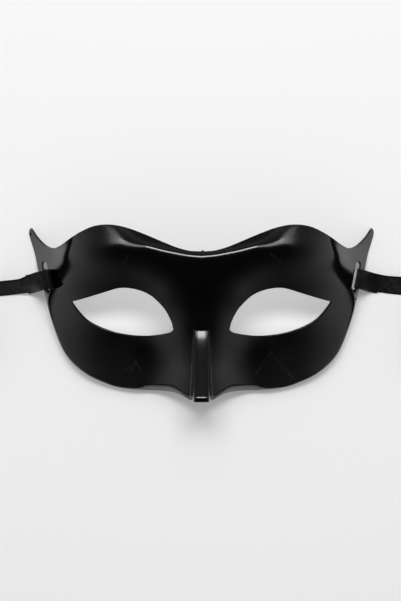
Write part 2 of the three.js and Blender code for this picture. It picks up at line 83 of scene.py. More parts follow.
# Middle of each ribbon from its glued end, as x, y and z, and the roll in degrees
RIGHT_ROUTE = [
    (92.6, 14.5, 0.4, 0), (90, 14.9, 0.7, -1), (87.6, 15.4, 1.7, -4), (85.4, 16, 3.3, -8),
    (83.3, 16.5, 5.3, -11), (81.4, 17, 7.4, -12), (80, 17.3, 9.8, -12), (79.6, 17.4, 12.4, -11),
    (79.9, 17.3, 14.4, -10), (81, 17.1, 14.8, -9), (82.4, 16.8, 13.4, -9), (83.9, 16.5, 11.2, -7),
    (85.2, 16.2, 8.8, -5), (86.5, 15.9, 6.5, 0), (88, 15.5, 4.6, 6), (90, 15.1, 3.5, 14),
    (92.2, 14.8, 2.9, 20), (95.2, 14.4, 2.6, 26), (99.4, 13.9, 2.2, 22), (105.4, 13.4, 1.8, 17),
    (110.4, 12.7, 3, 32), (116, 12, 5, 66), (122, 11.4, 5.4, 88), (130.5, 11.2, 5.4, 90),
]
LEFT_ROUTE = [
    (91.2, 14.2, 0.5, 0), (88.8, 14.6, 1.2, -2), (86.4, 15.3, 2.8, -6), (83.9, 16.1, 5, -9),
    (81.6, 16.9, 7.4, -11), (80, 17.2, 9.8, -12), (79.6, 17.3, 12.4, -11), (79.3, 17.2, 14.6, -11),
    (78.4, 16.8, 17.2, -13), (77, 16.4, 19.4, -17), (76.6, 16.2, 21, -21), (77.9, 16.2, 21.9, -21),
    (80.1, 16.2, 21.2, -18), (82.2, 15.8, 18.8, -10), (84.1, 15.4, 15.6, 4), (86, 14.9, 12.2, 18),
    (88.2, 14.3, 9.1, 31), (90.8, 13.7, 6.8, 39), (94, 13.2, 5.4, 42), (97.4, 12.8, 4.5, 41),
    (101.2, 12.4, 3.9, 40), (105.4, 12, 3.8, 40), (110.4, 11.7, 4.3, 52), (116, 11.4, 5.1, 74),
    (122, 11.3, 5.4, 88), (130.5, 11.2, 5.4, 90),
]


def curve_through(corners, places):
    """Centripetal curve through corners, at places counted in corners from the first."""
    corners = np.asarray(corners, float)
    ends = np.vstack([2 * corners[0] - corners[1], corners, 2 * corners[-1] - corners[-2]])
    i = np.minimum(places.astype(int), len(corners) - 2)
    t = (places - i)[:, None]
    before, start, end, after = ends[i], ends[i + 1], ends[i + 2], ends[i + 3]
    spans = ((before, start), (start, end), (end, after))
    first, middle, last = [np.sqrt(np.linalg.norm(b - a, axis=1))[:, None] for a, b in spans]
    leave = (start - before) / first - (end - before) / (first + middle) + (end - start) / middle
    arrive = (end - start) / middle - (after - start) / (middle + last) + (after - end) / last
    leave = leave * middle
    arrive = arrive * middle
    square = 3 * (end - start) - 2 * leave - arrive
    cube = 2 * (start - end) + leave + arrive
    return start + leave * t + square * t**2 + cube * t**3


def even_places(corners, step=None, count=None):
    """Places on the curve through corners that are an even step apart along it."""
    fine = np.linspace(0, len(corners) - 1, PLACES_A_SPAN * len(corners))
    points = curve_through(corners, fine)
    along = np.concatenate([[0], np.cumsum(np.linalg.norm(np.diff(points, axis=0), axis=1))])
    if count is None:
        count = max(2, round(along[-1] / step))
    return np.interp(np.linspace(0, along[-1], count + 1), along, fine)


def unit(vectors):
    return vectors / np.linalg.norm(vectors, axis=-1, keepdims=True)


def ribbon_path(route):
    """Points in millimetres down the middle of a right-hand ribbon, and the way that its width lies."""
    route = np.array(route, float)
    places = even_places(route[:, :3], count=RIBBON_POINTS)
    points = curve_through(route[:, :3], places)
    roll = np.radians(np.interp(places, np.arange(len(route)), route[:, 3]))
    slot_line = unit(np.array([SLOT_TOP[0] - SLOT_BOTTOM[0], SLOT_TOP[1] - SLOT_BOTTOM[1], 0.0]))
    across = np.cos(roll)[:, None] * slot_line + np.sin(roll)[:, None] * np.array([0.0, 0.0, 1.0])
    left = RIBBON_LENGTH - np.linalg.norm(np.diff(points, axis=0), axis=1).sum()
    start = points[-1]
    radius = COIL_RADIUS + CAD_THICKNESS + CLEARANCE + CAD_THICKNESS / 2
    coil = []
    turn = 0
    while left > 0:
        turn += 1 / COIL_POINTS_A_TURN
        now = radius - COIL_PITCH * turn
        angle = math.pi / 2 - 2 * math.pi * turn
        sink = min(turn / SETTLE_TURN, 1)
        z = start[2] + (COIL_CENTRE_Z - start[2]) * sink
        x = start[0] + now * math.cos(angle)
        y = start[1] - radius + now * math.sin(angle)
        place = np.array([x, y, z])
        left -= np.linalg.norm(place - (coil[-1] if coil else start))
        coil.append(place)
    points = np.vstack([points, coil])
    upright = np.tile([0.0, 0.0, 1.0], (len(coil), 1))
    across = np.vstack([across, upright])
    tangent = unit(np.gradient(points, axis=0))
    across = unit(across - (across * tangent).sum(1, keepdims=True) * tangent)
    return points, across


def math_node(tree, operation, *values):
    """Output of one arithmetic node in a tree, fed by sockets or by plain numbers."""
    node = tree.nodes.new("ShaderNodeMath")
    node.operation = operation
    for socket, value in zip(node.inputs, values):
        if isinstance(value, bpy.types.NodeSocket):
            tree.links.new(value, socket)
        else:
            socket.default_value = value
    return node.outputs[0]


def eased_step(tree, value, start, end, before=0, after=1):
    """Output of a node that eases from one number to another as a value goes from start to end."""
    node = tree.nodes.new("ShaderNodeMapRange")
    node.interpolation_type = "SMOOTHSTEP"
    node.inputs["From Min"].default_value = start
    node.inputs["From Max"].default_value = end
    node.inputs["To Min"].default_value = before
    node.inputs["To Max"].default_value = after
    tree.links.new(value, node.inputs["Value"])
    return node.outputs[0]


def mixed(tree, share, first, second):
    """One colour or another by a share, each given as a socket or as a plain colour."""
    node = tree.nodes.new("ShaderNodeMix")
    node.data_type = "RGBA"
    tree.links.new(share, node.inputs["Factor"])
    for name, value in (("A", first), ("B", second)):
        if isinstance(value, bpy.types.NodeSocket):
            tree.links.new(value, node.inputs[name])
        else:
            node.inputs[name].default_value = value
    return node.outputs["Result"]


def ribbon_tree():
    """Geometry nodes that sweep the ribbon's section along a path, with length and width as its UV map."""
    tree = bpy.data.node_groups.new("ribbon along a path", "GeometryNodeTree")
    face = tree.interface
    face.new_socket("Path", in_out="INPUT", socket_type="NodeSocketGeometry")
    for name in ("Width", "Thickness", "Selvedge swell", "Squareness"):
        face.new_socket(name, in_out="INPUT", socket_type="NodeSocketFloat")
    face.new_socket("Section points", in_out="INPUT", socket_type="NodeSocketInt")
    face.new_socket("Finish", in_out="INPUT", socket_type="NodeSocketMaterial")
    face.new_socket("Ribbon", in_out="OUTPUT", socket_type="NodeSocketGeometry")
    nodes, links = tree.nodes, tree.links
    given = nodes.new("NodeGroupInput")
    result = nodes.new("NodeGroupOutput")

    line = nodes.new("GeometryNodeMeshToCurve")
    links.new(given.outputs["Path"], line.inputs["Mesh"])
    across = nodes.new("GeometryNodeInputNamedAttribute")
    across.data_type = "FLOAT_VECTOR"
    across.inputs["Name"].default_value = "across"
    turned = nodes.new("GeometryNodeSetCurveNormal")
    turned.mode = "FREE"
    links.new(line.outputs["Curve"], turned.inputs["Curve"])
    links.new(across.outputs["Attribute"], turned.inputs["Normal"])
    where = nodes.new("GeometryNodeSplineParameter")
    along = nodes.new("GeometryNodeCaptureAttribute")
    along.capture_items.new("FLOAT", "Along")
    links.new(turned.outputs["Curve"], along.inputs["Geometry"])
    links.new(where.outputs["Length"], along.inputs["Along"])

    ring = nodes.new("GeometryNodeCurvePrimitiveCircle")
    ring.inputs["Radius"].default_value = 1
    links.new(given.outputs["Section points"], ring.inputs["Resolution"])
    place = nodes.new("GeometryNodeInputPosition")
    split = nodes.new("ShaderNodeSeparateXYZ")
    links.new(place.outputs[0], split.inputs[0])
    half_width = math_node(tree, "MULTIPLY", given.outputs["Width"], 0.5)
    half_thickness = math_node(tree, "MULTIPLY", given.outputs["Thickness"], 0.5)
    wide = math_node(tree, "MULTIPLY", split.outputs[0], half_width)
    edge = eased_step(tree, math_node(tree, "ABSOLUTE", split.outputs[0]), SELVEDGE_START, SELVEDGE_FULL)
    swell = math_node(tree, "ADD", math_node(tree, "MULTIPLY", edge, given.outputs["Selvedge swell"]), 1)
    height = math_node(tree, "ABSOLUTE", split.outputs[1])
    flat = math_node(tree, "POWER", height, given.outputs["Squareness"])
    thick = math_node(tree, "MULTIPLY", flat, math_node(tree, "SIGN", split.outputs[1]))
    thick = math_node(tree, "MULTIPLY", math_node(tree, "MULTIPLY", thick, swell), half_thickness)
    joined = nodes.new("ShaderNodeCombineXYZ")
    links.new(wide, joined.inputs[0])
    links.new(thick, joined.inputs[1])
    shaped = nodes.new("GeometryNodeSetPosition")
    links.new(ring.outputs["Curve"], shaped.inputs["Geometry"])
    links.new(joined.outputs[0], shaped.inputs["Position"])
    sideways = nodes.new("GeometryNodeCaptureAttribute")
    sideways.capture_items.new("FLOAT", "Sideways")
    late = nodes.new("GeometryNodeInputPosition")
    late_split = nodes.new("ShaderNodeSeparateXYZ")
    links.new(late.outputs[0], late_split.inputs[0])
    links.new(shaped.outputs["Geometry"], sideways.inputs["Geometry"])
    links.new(late_split.outputs[0], sideways.inputs["Sideways"])

    swept = nodes.new("GeometryNodeCurveToMesh")
    links.new(along.outputs["Geometry"], swept.inputs["Curve"])
    links.new(sideways.outputs["Geometry"], swept.inputs["Profile Curve"])
    swept.inputs["Fill Caps"].default_value = True
    chart = nodes.new("ShaderNodeCombineXYZ")
    links.new(along.outputs["Along"], chart.inputs[0])
    links.new(sideways.outputs["Sideways"], chart.inputs[1])
    mapped = nodes.new("GeometryNodeStoreNamedAttribute")
    mapped.data_type = "FLOAT2"
    mapped.domain = "CORNER"
    mapped.inputs["Name"].default_value = "UVMap"
    links.new(swept.outputs["Mesh"], mapped.inputs["Geometry"])
    links.new(chart.outputs[0], mapped.inputs["Value"])
    smooth = nodes.new("GeometryNodeSetShadeSmooth")
    links.new(mapped.outputs["Geometry"], smooth.inputs["Geometry"])
    real = nodes.new("GeometryNodeRealizeInstances")
    links.new(smooth.outputs["Geometry"], real.inputs["Geometry"])
    finish = nodes.new("GeometryNodeSetMaterial")
    links.new(real.outputs["Geometry"], finish.inputs["Geometry"])
    links.new(given.outputs["Finish"], finish.inputs["Material"])
    links.new(finish.outputs["Geometry"], result.inputs["Ribbon"])
    return tree


# Lengths and widths of the satin in millimetres, its patches and threads to the metre, how much the patches
# shade it, and its three blacks:
# the darkest is painted shade over the first stretch out from the slot, easing into the tail's black
PAINTED_SHADE_LENGTH = 34
PAINTED_SHADE_END = 50
PATCHES_ALONG = 420
PATCHES_ACROSS = 700
THREADS_ALONG = 5200
THREADS_ACROSS = 1400
THREAD_HEIGHT = 0.06
THREAD_ROUGHNESS = (0.36, 0.52)
PATCH_NOISE = (0.35, 0.65)
PATCH_SHADE = (0.5, 1.35)
WOVEN_EDGE = 4.1
WOVEN_EDGE_FULL = 4.4
# Painted shade tone for the stretch near the slot, then the lighter tone of the tail
PAINTED_SHADE_TONE = (0.0035, 0.0035, 0.0038, 1)
TAIL_TONE = (0.017, 0.017, 0.0182, 1)
WOVEN_TONE = (0.003, 0.003, 0.0033, 1)


def satin_finish():
    """Black satin, faintly mottled, darker with painted shade over its first stretch from the slot, with a
    matt woven edge.
    """
    satin = bpy.data.materials.new("black satin ribbon")
    satin.use_nodes = True
    tree = satin.node_tree
    nodes, links = tree.nodes, tree.links
    shader = nodes["Principled BSDF"]
    shader.inputs["IOR"].default_value = 1.46
    shader.inputs["Specular IOR Level"].default_value = 0.15
    shader.inputs["Sheen Weight"].default_value = 0.03
    shader.inputs["Sheen Roughness"].default_value = 0.35
    chart = nodes.new("ShaderNodeUVMap")
    chart.uv_map = "UVMap"
    threads = nodes.new("ShaderNodeMapping")
    threads.inputs["Scale"].default_value = (THREADS_ALONG, THREADS_ACROSS, 1)
    links.new(chart.outputs[0], threads.inputs[0])
    weave = nodes.new("ShaderNodeTexNoise")
    weave.inputs["Scale"].default_value = 1
    weave.inputs["Detail"].default_value = 2
    links.new(threads.outputs[0], weave.inputs["Vector"])
    split = nodes.new("ShaderNodeSeparateXYZ")
    links.new(chart.outputs[0], split.inputs[0])
    aside = math_node(tree, "ABSOLUTE", split.outputs[1])
    selvedge = eased_step(tree, aside, WOVEN_EDGE * MM, WOVEN_EDGE_FULL * MM)
    # Painted shade: the ribbon is darker over its first stretch out from the slot and eases to the tail's
    # tone
    past_painted_shade = eased_step(tree, split.outputs[0], PAINTED_SHADE_LENGTH * MM, PAINTED_SHADE_END * MM)
    patches = nodes.new("ShaderNodeMapping")
    patches.inputs["Scale"].default_value = (PATCHES_ALONG, PATCHES_ACROSS, 1)
    links.new(chart.outputs[0], patches.inputs[0])
    mottle = nodes.new("ShaderNodeTexNoise")
    mottle.inputs["Scale"].default_value = 1
    mottle.inputs["Detail"].default_value = 3
    links.new(patches.outputs[0], mottle.inputs["Vector"])
    blotch = nodes.new("ShaderNodeMapRange")
    blotch.inputs["From Min"].default_value = PATCH_NOISE[0]
    blotch.inputs["From Max"].default_value = PATCH_NOISE[1]
    blotch.inputs["To Min"].default_value = PATCH_SHADE[0]
    blotch.inputs["To Max"].default_value = PATCH_SHADE[1]
    links.new(mottle.outputs[0], blotch.inputs["Value"])
    cloth = nodes.new("ShaderNodeVectorMath")
    cloth.operation = "SCALE"
    links.new(mixed(tree, past_painted_shade, PAINTED_SHADE_TONE, TAIL_TONE), cloth.inputs[0])
    links.new(blotch.outputs[0], cloth.inputs["Scale"])
    links.new(mixed(tree, selvedge, cloth.outputs[0], WOVEN_TONE), shader.inputs["Base Color"])
    rough = nodes.new("ShaderNodeMapRange")
    rough.inputs["To Min"].default_value = THREAD_ROUGHNESS[0]
    rough.inputs["To Max"].default_value = THREAD_ROUGHNESS[1]
    links.new(weave.outputs[0], rough.inputs["Value"])
    links.new(rough.outputs[0], shader.inputs["Roughness"])
    bump = nodes.new("ShaderNodeBump")
    bump.inputs["Strength"].default_value = 0.35
    bump.inputs["Distance"].default_value = THREAD_HEIGHT * MM
    links.new(weave.outputs[0], bump.inputs["Height"])
    links.new(bump.outputs[0], shader.inputs["Normal"])
    return satin


satin = satin_finish()
ribbon_group = ribbon_tree()
RIBBON_INPUTS = {
    "Width": RIBBON_WIDTH * MM,
    "Thickness": RIBBON_THICKNESS * MM,
    "Selvedge swell": SELVEDGE_SWELL,
    "Squareness": SECTION_SQUARENESS,
    "Section points": SECTION_POINTS,
    "Finish": satin,
}
for name, route, side in (("ribbon_right", RIGHT_ROUTE, 1), ("ribbon_left", LEFT_ROUTE, -1)):
    points, across = ribbon_path(route)
    points = (points - np.array([0, PLAN_CENTRE_Y, 0])) * np.array([side, 1, 1]) * MM
    across = across * np.array([side, 1, 1])
    line = bpy.data.meshes.new(name + " path")
    line.from_pydata(points.tolist(), [(i, i + 1) for i in range(len(points) - 1)], [])
    line.attributes.new("across", "FLOAT_VECTOR", "POINT").data.foreach_set("vector", across.ravel())
    maker = bpy.data.objects.new(name + " path", line)
    bpy.context.collection.objects.link(maker)
    modifier = maker.modifiers.new("ribbon", "NODES")
    modifier.node_group = ribbon_group
    for item in ribbon_group.interface.items_tree:
        if item.in_out == "INPUT" and item.name in RIBBON_INPUTS:
            modifier[item.identifier] = RIBBON_INPUTS[item.name]
    made = maker.evaluated_get(bpy.context.evaluated_depsgraph_get())
    mesh = bpy.data.meshes.new_from_object(made)
    bpy.data.objects.remove(maker)
    ribbon = bpy.data.objects.new(name + "_satin", mesh)
    bpy.context.collection.objects.link(ribbon)
    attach(ribbon, "root")
    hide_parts(name, name + "_coil")

# Mask shell
# One injection moulding of gloss black plastic, 1.2 mm thick, open at the back, with rounded edges.
# Its face is a height over the table at each place in plan, and its inner face follows behind.
WALL = 1.2
BRIDGE_HEIGHT = 33.9
NOSE_ROOT_Y = -7.6
NOSE_HALF_WIDTH = 3.9
NOSE_WALL = math.tan(math.radians(86.5))
NOSE_RISE = 0.37
NOSE_START = 0.15
NOSE_SETTLE = 6
NOSE_END_Y = -41.4
NOSE_END_RADIUS = 3.4
NOSE_END_DEPTH = 2.9
NOSE_END_WALL = math.tan(math.radians(88))
NOSE_EDGE_ROUND = 0.22
NOSE_TOP_BLEND = 0.28
BROW_TURN = math.tan(math.radians(42))
BROW_ROUND = 1.1
BROW_SOFT_ROUND = 4
BROW_SOFT_X = 26
BROW_SOFT_SPAN = 14
RIM_HEIGHT = 0.8

# Height of the wing's rim, and how far in from it the wing folds up to the face, by y in plan
WING_RIM = [
    (0, 9.4), (6, 9.8), (11, 9.9), (16, 9.6), (20, 8.2), (24, 5), (28, 2.6), (33, 1.3), (38, 0.8),
    (46, 0.8),
]
WING_REACH = [
    (-50, 0.3), (-20, 0.3), (-4, 0.3), (2, 0.35), (6, 0.9), (9, 2.4), (11.6, 5), (16, 11), (20, 14.2),
    (24, 16.7), (28, 18.4), (36, 23.7), (44, 27),
]
WING_TOP_Y = 43
WING_FOOT_Y = 2
WING_FOOT_SPAN = 9
FOLD_ROUND = 0.6
FOLD_SOFT_ROUND = 1.6
FOLD_SOFT_Y = 39
FOLD_SOFT_SPAN = 20
SIDE_SKIRT = 2.4
SKIRT_BLEND = 1

# How far the lower rim drops below the face, and its slope in degrees, by distance from the middle
CHEEK_SKIRTS = [
    (0, 0.8), (8, 1), (17, 3.2), (25, 3), (32, 1.8), (38, 1.4), (46, 2), (53, 5.4), (62, 4), (72, 2.4),
]
SKIRT_SLOPES = [(0, 48), (5, 50), (11, 62), (28, 62), (36, 80), (44, 86), (72, 86)]
CHEEK_END_X = 70
CHEEK_ROUND = 0.7
SLOT_WIDTH = 2.2

# Right half of the outline in plan, from the middle of the brow out to the wing tip and back to the nose
BROW_EDGE = [
    (0, 30.2), (6, 30.5), (12, 32.1), (18, 34.5), (24, 37.1), (30, 39.6), (36, 41.8), (42, 43.2),
    (48, 43.6), (54, 42.8), (60, 40.4), (66, 37.1), (71, 34.1), (74.8, 32.7), (78, 33.4), (81.6, 35.8),
    (85.2, 39.4), (87.8, 42.8),
]
WING_EDGE = [
    (89.1, 43.7), (90.1, 42.4), (90.1, 40.6), (89.2, 37.2), (87.2, 30.9), (84.7, 21.5), (82.4, 14.5),
    (80.7, 8), (79.1, 0.5), (77.3, -6), (75.1, -12.5), (72.4, -19), (68.4, -25), (63.6, -29.7),
    (57.5, -34),
]
CHEEK_EDGE = [
    (50.2, -37.3), (43.9, -39.2), (37.6, -40.2), (31.3, -40.7), (26.5, -40.8), (21.2, -40.9),
    (17, -41.1), (13.7, -41.6), (12.1, -42), (10.6, -42.6), (9, -43.4), (7.4, -44.3), (5.9, -45),
    (4.4, -45.4), (2.9, -45.6), (0, -45.6),
]
UPPER_LID = [
    (14.2, -8.8), (14.8, -5.7), (16, -2.8), (18.2, 1.2), (20.8, 4.3), (23.4, 6.8), (26, 8.7),
    (28.8, 10.1), (32.5, 11.3), (36.4, 12), (40.5, 12.1), (44, 11.4), (48, 10.2), (54, 8.4), (60, 6.7),
]
LOWER_LID = [
    (65.6, 5.3), (62.6, 1.1), (58.4, -3.4), (53, -6.7), (47.6, -8.9), (42.2, -10.5), (36.9, -11.4),
    (31.7, -11.9), (26.5, -11.9), (21.4, -11.3), (17.8, -10.6), (15.4, -9.9),
]

# Heights of the face over a net of stations, before the nose, the crest and the rims are formed
STATIONS_X = [0, 8, 16, 24, 32, 44, 56, 68, 80, 92]
STATIONS_Y = [50, 39, 28, 20, 11.6, 4.6, -3.4, -11.4, -19.4, -29.4, -40, -50]
FACE_HEIGHTS = [
    [44, 44, 43.8, 43.4, 42.9, 41.8, 37.6, 31, 21, 8],
    [44, 44, 43.8, 43.4, 43, 41.9, 38, 30.6, 21, 8],
    [44, 44, 43.9, 43.5, 43, 41.8, 38.2, 30.6, 21, 8],
    [43.8, 43.7, 43.2, 41.8, 39.8, 37.2, 33.5, 27, 17.8, 6],
    [43, 42.7, 41, 37.6, 34.8, 32.2, 28.9, 23.2, 14.6, 4],
    [41, 40.5, 38.4, 35, 32.2, 29.4, 26, 20, 11.8, 2],
    [37.6, 37, 33.7, 29.8, 27, 24.4, 21.6, 16.2, 8.6, -1],
    [34, 32.9, 29.2, 25, 22.2, 20.2, 17.8, 12.8, 5.6, -4],
    [31, 28.5, 24.5, 21.2, 20.2, 18.2, 15.4, 10.4, 3, -7],
    [28, 24.4, 19.4, 16, 14.9, 13.4, 11, 6, -1.6, -11],
    [22, 18.6, 13.8, 9, 7.2, 5.2, 2.4, -3, -11, -20],
    [16, 12.6, 8, 2.4, 0.2, -2, -5.6, -12, -20, -30],
]
CREST = [
    (0, 28.3), (7, 28.9), (13.4, 30.1), (19.4, 31.4), (24.9, 32.9), (30.9, 34.6), (35.8, 37.3),
    (40.3, 40.8), (46.5, 45.2), (53, 49), (60, 55), (92, 80),
]


def lower(a, b, blend):
    return (a + b - np.hypot(a - b, blend)) / 2


def upper(a, b, blend):
    return (a + b + np.hypot(a - b, blend)) / 2


def ramp(t, blend):
    return upper(t, 0, blend)


def natural_weights(knots, t):
    """Weights of the knots' values in the natural cubic spline through them, one row for each t."""
    knots = np.asarray(knots, float)
    n = len(knots)
    gap = np.diff(knots)
    values = np.eye(n)
    system = np.eye(n)
    rates = np.diff(values, axis=0) / gap[:, None]
    bends = np.zeros((n, n))
    for i in range(1, n - 1):
        system[i, i - 1 : i + 2] = gap[i - 1], 2 * (gap[i - 1] + gap[i]), gap[i]
        bends[i] = 6 * (rates[i] - rates[i - 1])
    bends = np.linalg.solve(system, bends)
    t = np.asarray(t, float)
    i = np.clip(np.searchsorted(knots, t, side="left") - 1, 0, n - 2)
    h = gap[i]
    a = (knots[i + 1] - t) / h
    b = 1 - a
    inside = ((t >= knots[0]) & (t <= knots[-1]))[:, None]
    curve = (a**3 - a)[:, None] * bends[i] + (b**3 - b)[:, None] * bends[i + 1]
    return a[:, None] * values[i] + b[:, None] * values[i + 1] + inside * curve * (h * h / 6)[:, None]


def spline_at(points, t):
    knots = [p[0] for p in points]
    return natural_weights(knots, t) @ np.array([p[1] for p in points], float)


rising_y = STATIONS_Y[::-1]
rising_heights = np.array(FACE_HEIGHTS[::-1], float)
wing_edge_by_y = [(y, x) for x, y in reversed((WING_EDGE + CHEEK_EDGE[:1])[1:])]
cheek_edge_by_x = list(reversed(WING_EDGE[-4:] + CHEEK_EDGE))


def eased(t):
    t = np.clip(t, 0, 1)
    return t * t * (3 - 2 * t)


def eased_at(points, t):
    """Value at t, eased from each point to the next."""
    places = np.array([p[0] for p in points], float)
    values = np.array([p[1] for p in points], float)
    i = np.clip(np.searchsorted(places, t) - 1, 0, len(places) - 2)
    return values[i] + (values[i + 1] - values[i]) * eased((t - places[i]) / (places[i + 1] - places[i]))


def face_height(x, y):
    """Height of the face with its turned crest, before the outer rim and the nose are formed."""
    by_y = natural_weights(rising_y, y)
    by_x = natural_weights(STATIONS_X, x)
    z = np.einsum("pi,ij,pj->p", by_y, rising_heights, by_x)
    round_off = BROW_ROUND + (BROW_SOFT_ROUND - BROW_ROUND) * eased((x - BROW_SOFT_X) / BROW_SOFT_SPAN)
    return z - BROW_TURN * ramp(y - spline_at(CREST, x), round_off)


def nose_height(x, y):
    """Height of the nose: a ridge that rises to its tip, with steep sides and a steep end."""
    along = NOSE_ROOT_Y - y
    settle = (NOSE_RISE - NOSE_START) * NOSE_SETTLE * np.exp(-np.maximum(along, -NOSE_SETTLE) / NOSE_SETTLE)
    ridge = BRIDGE_HEIGHT + NOSE_RISE * along + settle
    past = np.maximum(NOSE_END_Y - y, 0)
    rolled = np.minimum(past, NOSE_END_DEPTH)
    ridge = ridge - NOSE_END_RADIUS + np.sqrt(NOSE_END_RADIUS**2 - rolled**2)
    ridge = ridge - NOSE_END_WALL * (past - rolled)
    return ridge - NOSE_WALL * ramp(x - NOSE_HALF_WIDTH, NOSE_EDGE_ROUND)


def outer_height(x, y):
    """Height of the mask's outer face over the table, in millimetres."""
    x = np.abs(x)
    z = face_height(x, y)
    side = spline_at(wing_edge_by_y, np.minimum(y, WING_TOP_Y))
    side_rim = upper(face_height(side, y) - SIDE_SKIRT, RIM_HEIGHT, SKIRT_BLEND)
    rim = side_rim + (spline_at(WING_RIM, y) - side_rim) * eased((y - WING_FOOT_Y) / WING_FOOT_SPAN)
    reach = np.maximum(spline_at(WING_REACH, y), WING_REACH[0][1])
    fold = FOLD_ROUND + (FOLD_SOFT_ROUND - FOLD_ROUND) * eased((FOLD_SOFT_Y - y) / FOLD_SOFT_SPAN)
    z = lower(z, rim + (side - x) * (face_height(side - reach, y) - rim) / reach, fold)
    edge = spline_at(cheek_edge_by_x, x)
    rim = upper(face_height(x, edge) - eased_at(CHEEK_SKIRTS, x), RIM_HEIGHT, SKIRT_BLEND)
    cheek = lower(z, rim + (y - edge) * np.tan(np.radians(eased_at(SKIRT_SLOPES, x))), CHEEK_ROUND)
    return upper(np.where(x < CHEEK_END_X, cheek, z), nose_height(x, y), NOSE_TOP_BLEND)


def outer_normal(x, y, step):
    """Unit normal of the outer face, from heights a step to each side."""
    dx = (outer_height(x + step, y) - outer_height(x - step, y)) / (2 * step)
    dy = (outer_height(x, y + step) - outer_height(x, y - step)) / (2 * step)
    return unit(np.stack([-dx, -dy, np.ones_like(dx)], axis=1))


# Spacing of the mesh's points in plan, closer along the edges, the nose, the crest and the folds
EDGE_STEP = 0.9
SLOT_STEP = 0.35
GRID_STEP = 1.05
ROW_STEP = 0.91
GRID_END_X = 92
GRID_LOW_Y = -47
GRID_HIGH_Y = 46
RING_DEPTHS = (0.45, 1.0, 1.7)
RING_CLEAR = 0.3
LINE_CLEAR = 0.22
GRID_CLEAR = 0.55
NOSE_LINES = (2.9, 3.3, 3.6, 3.8, 4.0, 4.2, 4.5, 4.9, 5.3, 5.7, 6.1)
NOSE_LINE_STEP = 0.8
NOSE_TOP_Y = -4.0
NOSE_LOW_Y = -46
NOSE_END_LINES = (-3.2, -2.95, -2.8, -2.4, -2, -1.5, -1, -0.5, 0)
NOSE_END_STEP = 0.5
CREST_LINES = (-1.8, -1.3, -0.9, -0.6, -0.3, 0.0, 0.3, 0.6, 0.9, 1.3, 1.8)
CREST_LINE_STEP = 0.8
CREST_END_X = 47
FOLD_LINES = (-1.5, -1.0, -0.7, -0.4, -0.1, 0.2, 0.5, 0.9, 1.4)
FOLD_LINE_STEP = 0.8
FOLD_LOW_Y = 8
FOLD_HIGH_Y = 40
FINE_STEP = 0.12
INNER_STEP = 2.2
EDGE_SEGMENTS = 6
RINGED_LOOPS = 3
DISTANCE_BLOCK = 200
MERGE_GAP = 1e-5


def mirrored(loop):
    return loop[::-1] * np.array([-1, 1])


def along_curve(corners, step):
    return curve_through(corners, even_places(corners, step=step))


def slot_loop():
    """Slot with round ends, across the wing beside its outer edge."""
    top, bottom = np.array(SLOT_TOP), np.array(SLOT_BOTTOM)
    radius = SLOT_WIDTH / 2
    along = unit(top - bottom)
    beside = np.array([along[1], -along[0]])
    turns = np.linspace(0, math.pi, round(math.pi * radius / SLOT_STEP) + 1)[:, None]
    straight = np.linalg.norm(top - bottom) - 2 * radius
    rest = np.linspace(0, 1, round(straight / SLOT_STEP) + 1)[1:-1, None]
    loop = []
    for centre, way in ((top - along * radius, 1), (bottom + along * radius, -1)):
        loop.append(centre + way * radius * (np.sin(turns) * along + np.cos(turns) * beside))
        start = loop[-1][-1]
        loop.append(start - way * straight * rest * along)
    return np.vstack(loop)


half = along_curve(BROW_EDGE + WING_EDGE + CHEEK_EDGE, EDGE_STEP)
half[0, 0] = 0
half[-1, 0] = 0
outline = np.vstack([half, mirrored(half)[1:-1]])
upper_lid = along_curve(UPPER_LID + LOWER_LID[:1], EDGE_STEP)
lower_lid = along_curve(LOWER_LID + UPPER_LID[:1], EDGE_STEP)
eye = np.vstack([upper_lid[:-1], lower_lid[:-1]])
slot = slot_loop()
nominal_loops = [outline, eye, mirrored(eye), slot, mirrored(slot)]


def loop_area(loop):
    after = np.roll(loop, -1, axis=0)
    return (loop[:, 0] * after[:, 1] - after[:, 0] * loop[:, 1]).sum() / 2


def away_from_shell(loop, is_hole):
    """Unit directions in plan that point out of the material at each point of a loop."""
    run = unit(np.roll(loop, -1, axis=0) - np.roll(loop, 1, axis=0))
    way = 1 if loop_area(loop) > 0 else -1
    if is_hole:
        way = -way
    return way * np.stack([run[:, 1], -run[:, 0]], axis=1)


def inside_loop(loop, points):
    x, y = points[:, 0], points[:, 1]
    inside = np.zeros(len(points), bool)
    for (x1, y1), (x2, y2) in zip(loop, np.roll(loop, -1, axis=0)):
        if y1 != y2:
            crosses = ((y1 > y) != (y2 > y)) & (x < (x2 - x1) * (y - y1) / (y2 - y1) + x1)
            inside ^= crosses
    return inside


def distance_to(points, others):
    """Distance from each point to the nearest of the others."""
    nearest = np.full(len(points), np.inf)
    for start in range(0, len(others), DISTANCE_BLOCK):
        block = others[start : start + DISTANCE_BLOCK]
        gap = points[:, None, :] - block[None, :, :]
        nearest = np.minimum(nearest, np.sqrt((gap**2).sum(2)).min(1))
    return nearest


# Loops of the face where the rounding of each edge starts, one edge radius in from the nominal edge
radius = WALL / 2
face_loops = []
edge_ways = []
for number, loop in enumerate(nominal_loops):
    way = away_from_shell(loop, number > 0)
    normal = outer_normal(loop[:, 0], loop[:, 1], INNER_STEP / 2)
    leaning = (normal[:, :2] * way).sum(1)
    face_loops.append(loop - way * (radius * (1 - leaning))[:, None])
    edge_ways.append(way)

